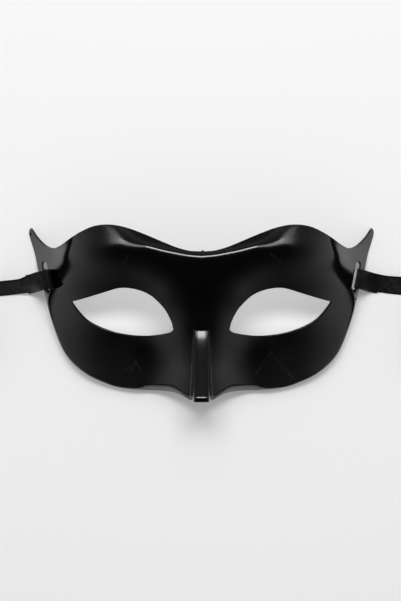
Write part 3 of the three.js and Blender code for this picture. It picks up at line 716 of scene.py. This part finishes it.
edge_points = np.vstack(face_loops)
rings = []
for depth in RING_DEPTHS:
    for number, loop in enumerate(face_loops):
        if number < RINGED_LOOPS:
            rings.append(loop - edge_ways[number] * depth)
rows = []
for x in NOSE_LINES:
    ys = np.arange(NOSE_LOW_Y, NOSE_TOP_Y, NOSE_LINE_STEP)
    rows += [np.stack([np.full_like(ys, side * x), ys], axis=1) for side in (1, -1)]
for lift in NOSE_END_LINES:
    xs = np.arange(0, NOSE_LINES[-1], NOSE_END_STEP)
    rows += [np.stack([side * xs, np.full_like(xs, NOSE_END_Y + lift)], axis=1) for side in (1, -1)]
for lift in CREST_LINES:
    xs = np.arange(0, CREST_END_X, CREST_LINE_STEP)
    ys = spline_at(CREST, xs) + lift
    rows += [np.stack([side * xs, ys], axis=1) for side in (1, -1)]
for lean in FOLD_LINES:
    ys = np.arange(FOLD_LOW_Y, FOLD_HIGH_Y, FOLD_LINE_STEP)
    xs = spline_at(wing_edge_by_y, ys) - spline_at(WING_REACH, ys) + lean
    rows += [np.stack([side * xs, ys], axis=1) for side in (1, -1)]
grid = []
for row, y in enumerate(np.arange(GRID_LOW_Y, GRID_HIGH_Y, ROW_STEP)):
    xs = np.arange((row % 2) * GRID_STEP / 2, GRID_END_X, GRID_STEP)
    for side in (1, -1):
        grid.append(np.stack([side * xs, np.full_like(xs, y)], axis=1))


def kept(candidates, taken, clear):
    """Candidates on the material that stay clear of the points already taken."""
    good = inside_loop(face_loops[0], candidates)
    for hole in face_loops[1:]:
        good &= ~inside_loop(hole, candidates)
    candidates = candidates[good]
    return candidates[distance_to(candidates, taken) > clear]


plan = edge_points
for group, clear in ((rings, RING_CLEAR), (rows, LINE_CLEAR), (grid, GRID_CLEAR)):
    plan = np.vstack([plan, kept(np.vstack(group), plan, clear)])
loop_edges = []
first = 0
for loop in face_loops:
    count = len(loop)
    loop_edges += [(first + i, first + (i + 1) % count) for i in range(count)]
    first += count
flat = delaunay_2d_cdt([tuple(p) for p in plan.tolist()], loop_edges, [], 0, MERGE_GAP, False)
plan = np.array([tuple(v) for v in flat[0]])
triangles = np.array([tuple(t) for t in flat[2]])
middles = plan[triangles].mean(1)
solid = inside_loop(face_loops[0], middles)
for hole in face_loops[1:]:
    solid &= ~inside_loop(hole, middles)
triangles = triangles[solid]
corner = plan[triangles]
turning = np.cross(corner[:, 1] - corner[:, 0], corner[:, 2] - corner[:, 0])
triangles[turning < 0] = triangles[turning < 0][:, ::-1]

face_z = outer_height(plan[:, 0], plan[:, 1])
back = outer_normal(plan[:, 0], plan[:, 1], INNER_STEP)
outer = np.column_stack([plan, face_z])
inner = outer - WALL * back
n = len(plan)
faces = np.vstack([triangles, triangles[:, ::-1] + n])
points = [outer, inner]
normals = [outer_normal(plan[:, 0], plan[:, 1], FINE_STEP), -back]
first = 0
total = 2 * n
edge_faces = []
for loop, way in zip(face_loops, edge_ways):
    count = len(loop)
    which = np.arange(first, first + count)
    first += count
    out3 = np.column_stack([way, np.zeros(count)])
    up = back[which]
    out3 = unit(out3 - (out3 * up).sum(1, keepdims=True) * up)
    middle = outer[which] - radius * up
    rings = [which]
    for k in range(1, EDGE_SEGMENTS):
        angle = math.pi * k / EDGE_SEGMENTS
        lean = math.cos(angle) * up + math.sin(angle) * out3
        points.append(middle + radius * lean)
        normals.append(lean)
        rings.append(total + np.arange(count))
        total += count
    rings.append(which + n)
    for a, b in zip(rings, rings[1:]):
        a_next, b_next = np.roll(a, -1), np.roll(b, -1)
        edge_faces.append((a, b, b_next, a_next))
points = np.vstack(points)
normals = np.vstack(normals)
points[:, 2] = np.maximum(points[:, 2], 0)
quads = []
for a, b, c, d in edge_faces:
    strip = np.stack([a, b, c, d], axis=1)
    side = points[strip]
    facing = np.cross(side[:, 1] - side[:, 0], side[:, 3] - side[:, 0])
    if (facing * normals[strip].mean(1)).sum() < 0:
        strip = strip[:, ::-1]
    quads.append(strip)
quads = np.vstack(quads)

# Stub of the moulding gate, a burr on one wing tip and a bit of flash, as x and y in plan and the radius
FLASH = [((0.6, 29.9), 0.9), ((-89, 40.6), 1), ((79, 6.6), 0.9)]
FLASH_DETAIL = 2
flash_faces = []
rim = points[: len(plan)]
for spot, size in FLASH:
    nearest = np.hypot(*(rim[:, :2] - spot).T).argmin()
    centre = np.append(np.array(spot), max(rim[nearest, 2] - radius, size))
    lump = bmesh.new()
    bmesh.ops.create_icosphere(lump, subdivisions=FLASH_DETAIL, radius=size)
    lump_points = np.array([tuple(v.co) for v in lump.verts])
    flash_faces += [[len(points) + v.index for v in face.verts] for face in lump.faces]
    points = np.vstack([points, centre + lump_points])
    normals = np.vstack([normals, unit(lump_points)])
    lump.free()
points[:, 1] -= PLAN_CENTRE_Y
mesh = bpy.data.meshes.new("mask shell")
mesh.from_pydata((points * MM).tolist(), [], faces.tolist() + quads.tolist() + flash_faces)
mesh.polygons.foreach_set("use_smooth", [True] * len(mesh.polygons))
mesh.normals_split_custom_set_from_vertices(normals.tolist())
shell = bpy.data.objects.new("mask_shell_moulding", mesh)
bpy.context.collection.objects.link(shell)

# Its black, and how rough it is from its glossiest to its most worn places
PLASTIC_TONE = (0.0012, 0.0012, 0.0012, 1)
PLASTIC_ROUGHNESS = (0.1, 0.14)
WEAR_SCALE = 90

# The brow is duller at both ends of its crest, by x and y in millimetres from the middle
DULL_PLACE = (49, 39)
DULL_LEAN = -0.35
DULL_LENGTH = 17
DULL_WIDTH = 9
DULL_ROUGHNESS = 0.16

# Faint scuffs on the cheeks and the brow, each from one place to another
SCUFFS = [
    ((35.1, -19.6), (27.8, -31.2)),
    ((35.1, -19.6), (46.9, -32.8)),
    ((-33.6, -24.6), (-36.4, -29.8)),
    ((-33.6, -24.6), (-30.6, -29.4)),
    ((-36.4, -27), (-39.6, -29.2)),
    ((-36.1, 29.1), (-40.1, 23.2)),
    ((34.2, 30), (39.2, 25.7)),
]
SCUFF_WIDTH = 1.4
SCUFF_ROUGHNESS = 0.2


def vector_node(tree, operation, value, other):
    """One vector arithmetic node in a tree, fed by a socket and by numbers or a second socket."""
    node = tree.nodes.new("ShaderNodeVectorMath")
    node.operation = operation
    tree.links.new(value, node.inputs[0])
    if isinstance(other, bpy.types.NodeSocket):
        tree.links.new(other, node.inputs[1])
    else:
        node.inputs[1].default_value = other
    return node


def dull_brow(tree, place):
    """Roughness that is added at both ends of the brow's crest, and fades out round them."""
    split = tree.nodes.new("ShaderNodeSeparateXYZ")
    tree.links.new(place, split.inputs[0])
    aside = math_node(tree, "ABSOLUTE", split.outputs["X"])
    x = math_node(tree, "SUBTRACT", aside, DULL_PLACE[0] * MM)
    y = math_node(tree, "SUBTRACT", split.outputs["Y"], DULL_PLACE[1] * MM)
    along = math_node(tree, "ADD", x, math_node(tree, "MULTIPLY", y, DULL_LEAN))
    across = math_node(tree, "SUBTRACT", y, math_node(tree, "MULTIPLY", x, DULL_LEAN))
    along = math_node(tree, "POWER", math_node(tree, "DIVIDE", along, DULL_LENGTH * MM), 2)
    across = math_node(tree, "POWER", math_node(tree, "DIVIDE", across, DULL_WIDTH * MM), 2)
    return eased_step(tree, math_node(tree, "ADD", along, across), 0, 1, DULL_ROUGHNESS, 0)


def scuff(tree, flat_place, start, end):
    """Roughness that is added along the straight line between two places in plan."""
    length = math.dist(start, end)
    heading = ((end[0] - start[0]) / length, (end[1] - start[1]) / length, 0)
    from_start = vector_node(tree, "SUBTRACT", flat_place, (start[0] * MM, start[1] * MM, 0)).outputs[0]
    along = vector_node(tree, "DOT_PRODUCT", from_start, heading).outputs["Value"]
    along = math_node(tree, "MINIMUM", math_node(tree, "MAXIMUM", along, 0), length * MM)
    on_line = tree.nodes.new("ShaderNodeVectorMath")
    on_line.operation = "SCALE"
    on_line.inputs[0].default_value = heading
    tree.links.new(along, on_line.inputs["Scale"])
    off_line = vector_node(tree, "DISTANCE", from_start, on_line.outputs[0]).outputs["Value"]
    return eased_step(tree, off_line, 0, SCUFF_WIDTH * MM, SCUFF_ROUGHNESS, 0)


def plastic_finish():
    """Gloss black plastic with a little uneven wear, a duller brow and a few scuffs."""
    plastic = bpy.data.materials.new("gloss black plastic")
    plastic.use_nodes = True
    tree = plastic.node_tree
    shader = tree.nodes["Principled BSDF"]
    shader.inputs["Base Color"].default_value = PLASTIC_TONE
    shader.inputs["IOR"].default_value = 1.58
    place = tree.nodes.new("ShaderNodeTexCoord").outputs["Object"]
    wear = tree.nodes.new("ShaderNodeTexNoise")
    wear.inputs["Scale"].default_value = WEAR_SCALE
    wear.inputs["Detail"].default_value = 4
    tree.links.new(place, wear.inputs["Vector"])
    gloss = tree.nodes.new("ShaderNodeMapRange")
    gloss.inputs["To Min"].default_value = PLASTIC_ROUGHNESS[0]
    gloss.inputs["To Max"].default_value = PLASTIC_ROUGHNESS[1]
    tree.links.new(wear.outputs[0], gloss.inputs["Value"])
    roughness = math_node(tree, "ADD", gloss.outputs[0], dull_brow(tree, place))
    flat_place = vector_node(tree, "MULTIPLY", place, (1, 1, 0)).outputs[0]
    for start, end in SCUFFS:
        roughness = math_node(tree, "ADD", roughness, scuff(tree, flat_place, start, end))
    tree.links.new(roughness, shader.inputs["Roughness"])
    return plastic


mesh.materials.append(plastic_finish())
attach(shell, "root")
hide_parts("mask_shell")

# Table
# A plain pale sheet that the mask and its ribbons lie on, wide enough to fill the view from any side.
# It gives off painted light of its own, a little everywhere and more under the mask and out to the sides,
# in place of the light that the lamps leave out there, and in the mask's reflections it is painted dark
# away from its middle.
TABLE_HALF = 2.5
PAPER_TONE = (0.84, 0.84, 0.845, 1)
GLOW = 0.12

# The painted light under the mask fades out between these distances to the sides, the nose and the brow
PAINTED_LIGHT_UNDER_MASK = 0.27
UNDER_SIDE = (0.066, 0.074)
UNDER_NOSE = (0.002, 0.02)
UNDER_BROW = (0.018, 0.03)

# The painted light out to the sides comes in between these distances, past the wing tips
PAINTED_LIGHT_BESIDE = 0.3
SIDE_START = (0.104, 0.116)

# The mask mirrors the pale sheet only up to between these distances, all round and to each side; past them
# the sheet is painted dark in its reflections
LIT_RADIUS = (0.22, 0.27)
LIT_SIDE = (0.127, 0.136)
PAINTED_REFLECTION_TONE = (0.03, 0.03, 0.03, 1)


def fade(tree, value, reach):
    """One where a distance is short of the first number of a reach, none where it is past the second."""
    near, far = reach
    return eased_step(tree, value, near, far, 1, 0)


def paper_finish():
    """Matt pale paper that glows with painted light by place, and is painted dark in the mask's reflections
    far from the mask.
    """
    paper = bpy.data.materials.new("pale paper")
    paper.use_nodes = True
    tree = paper.node_tree
    shader = tree.nodes["Principled BSDF"]
    shader.inputs["Roughness"].default_value = 0.9
    shader.inputs["Specular IOR Level"].default_value = 0
    shader.inputs["Emission Color"].default_value = (1, 1, 1, 1)
    place = tree.nodes.new("ShaderNodeTexCoord").outputs["Object"]
    split = tree.nodes.new("ShaderNodeSeparateXYZ")
    tree.links.new(place, split.inputs[0])
    reach = tree.nodes.new("ShaderNodeVectorMath")
    reach.operation = "LENGTH"
    tree.links.new(place, reach.inputs[0])
    sideways = math_node(tree, "ABSOLUTE", split.outputs[0])
    up = split.outputs[1]
    down = math_node(tree, "MULTIPLY", up, -1)
    mirrored_in = tree.nodes.new("ShaderNodeLightPath").outputs["Is Glossy Ray"]
    near = fade(tree, reach.outputs["Value"], LIT_RADIUS)
    near = math_node(tree, "MULTIPLY", near, fade(tree, sideways, LIT_SIDE))
    # Painted reflection: in the mask's mirror image the sheet turns dark and stops glowing away from its
    # middle
    far = math_node(tree, "MULTIPLY", math_node(tree, "SUBTRACT", 1, near), mirrored_in)
    under = math_node(tree, "MULTIPLY", fade(tree, down, UNDER_NOSE), fade(tree, up, UNDER_BROW))
    under = math_node(tree, "MULTIPLY", under, fade(tree, sideways, UNDER_SIDE))
    beside = math_node(tree, "SUBTRACT", 1, fade(tree, sideways, SIDE_START))
    # Painted light: pools of glow under the mask and out past the wing tips
    painted_pools = math_node(tree, "MULTIPLY", under, PAINTED_LIGHT_UNDER_MASK)
    painted_pools = math_node(tree, "ADD", painted_pools, math_node(tree, "MULTIPLY", beside, PAINTED_LIGHT_BESIDE))
    glow = math_node(tree, "ADD", painted_pools, GLOW)
    glow = math_node(tree, "MULTIPLY", glow, math_node(tree, "SUBTRACT", 1, far))
    tree.links.new(glow, shader.inputs["Emission Strength"])
    tree.links.new(mixed(tree, far, PAPER_TONE, PAINTED_REFLECTION_TONE), shader.inputs["Base Color"])
    return paper


table_mesh = bpy.data.meshes.new("table")
corners = [(x * TABLE_HALF, y * TABLE_HALF, 0) for x, y in ((-1, -1), (1, -1), (1, 1), (-1, 1))]
table_mesh.from_pydata(corners, [], [(0, 1, 2, 3)])
table = bpy.data.objects.new("table", table_mesh)
bpy.context.collection.objects.link(table)
table_mesh.materials.append(paper_finish())

# Light
# A long soft box over the brow lights the sheet, and two lamps beside it are seen only as its mirror
# image in the plastic, a bright middle and a fainter full length. A wide fill stands behind them, in a
# pale room that is dark straight above, where the camera hangs, and along the horizon.
KEY_ELEVATION = 68
KEY_DISTANCE = 1.2
KEY_LENGTH = 0.66
KEY_SIZE = 0.24
KEY_POWER = 6.8
GLINT_GAP = 0.03
GLINT_LENGTH = 0.24
GLINT_POWER = 1.6
LONG_GLINT_LENGTH = 1.0
LONG_GLINT_POWER = 2.5
FILL_ELEVATION = 50
FILL_DISTANCE = 1.6
FILL_SIZE = 1.0
FILL_POWER = 4.8

# What the room gives as plain fill light, and what is seen of it past the table
AMBIENT = (0.35, 0.35, 0.35, 1)
BACKDROP = (0.8, 0.8, 0.8, 1)


def area_lamp(name, elevation, distance, length, size, power):
    """A soft box in the plane of the mask's middle, turned to its middle from over the brow."""
    lamp = bpy.data.lights.new(name, "AREA")
    lamp.shape = "RECTANGLE"
    lamp.size = length
    lamp.size_y = size
    lamp.energy = power
    light = bpy.data.objects.new(name, lamp)
    lean = math.radians(elevation)
    light.location = (0, distance * math.cos(lean), distance * math.sin(lean))
    light.rotation_euler = (lean - math.pi / 2, 0, 0)
    light.visible_glossy = "glint" in name
    light.visible_diffuse = "glint" not in name
    bpy.context.collection.objects.link(light)


near_glint = KEY_DISTANCE - GLINT_GAP
far_glint = KEY_DISTANCE + GLINT_GAP
area_lamp("soft box", KEY_ELEVATION, KEY_DISTANCE, KEY_LENGTH, KEY_SIZE, KEY_POWER)
area_lamp("soft box glint", KEY_ELEVATION, near_glint, GLINT_LENGTH, KEY_SIZE, GLINT_POWER)
area_lamp("soft box long glint", KEY_ELEVATION, far_glint, LONG_GLINT_LENGTH, KEY_SIZE, LONG_GLINT_POWER)
area_lamp("fill", FILL_ELEVATION, FILL_DISTANCE, FILL_SIZE, FILL_SIZE, FILL_POWER)

# Brightness of the room by the angle from straight up, as a share of a half turn, to the left and
# right, towards the foot of the picture and towards its top
ROOM_SIDES = [
    (0, 0.012), (0.09, 0.02), (0.18, 0.09), (0.27, 0.2), (0.32, 0.34), (0.37, 0.52), (0.43, 0.78),
    (0.47, 0.9), (0.49, 0.06), (1, 0.06),
]
ROOM_FRONT = [(0, 0.01), (0.22, 0.012), (0.3, 0.03), (0.43, 0.045), (0.49, 0.05), (1, 0.05)]
ROOM_BACK = [(0, 0.012), (0.09, 0.02), (0.2, 0.12), (0.3, 0.2), (0.43, 0.3), (0.49, 0.1), (1, 0.1)]
NOT_ZERO = 1e-6


def room_ramp(tree, stops, angle):
    """Brightness of the room at an angle from straight up, eased from each stop to the next."""
    node = tree.nodes.new("ShaderNodeValToRGB")
    ramp_stops = node.color_ramp.elements
    while len(ramp_stops) < len(stops):
        ramp_stops.new(0.5)
    for stop, (where, level) in zip(ramp_stops, stops):
        stop.position = where
        stop.color = (level, level, level, 1)
    node.color_ramp.interpolation = "EASE"
    tree.links.new(angle, node.inputs[0])
    return node.outputs[0]


world = bpy.data.worlds.new("room")
bpy.context.scene.world = world
bpy.context.scene.view_settings.view_transform = "Standard"
world.use_nodes = True
tree = world.node_tree
parts = tree.nodes.new("ShaderNodeSeparateXYZ")
tree.links.new(tree.nodes.new("ShaderNodeTexCoord").outputs["Generated"], parts.inputs[0])
angle = math_node(tree, "DIVIDE", math_node(tree, "ARCCOSINE", parts.outputs[2]), math.pi)
x_square = math_node(tree, "MULTIPLY", parts.outputs[0], parts.outputs[0])
y_square = math_node(tree, "MULTIPLY", parts.outputs[1], parts.outputs[1])
flat_square = math_node(tree, "ADD", math_node(tree, "ADD", x_square, y_square), NOT_ZERO)
across = math_node(tree, "DIVIDE", x_square, flat_square)
forward = math_node(tree, "GREATER_THAN", parts.outputs[1], 0)
ends = mixed(tree, forward, room_ramp(tree, ROOM_FRONT, angle), room_ramp(tree, ROOM_BACK, angle))
walls = mixed(tree, across, ends, room_ramp(tree, ROOM_SIDES, angle))
sight = tree.nodes.new("ShaderNodeLightPath")
lit_by = mixed(tree, sight.outputs["Is Diffuse Ray"], walls, AMBIENT)
seen = mixed(tree, sight.outputs["Is Camera Ray"], lit_by, BACKDROP)
tree.links.new(seen, tree.nodes["Background"].inputs["Color"])
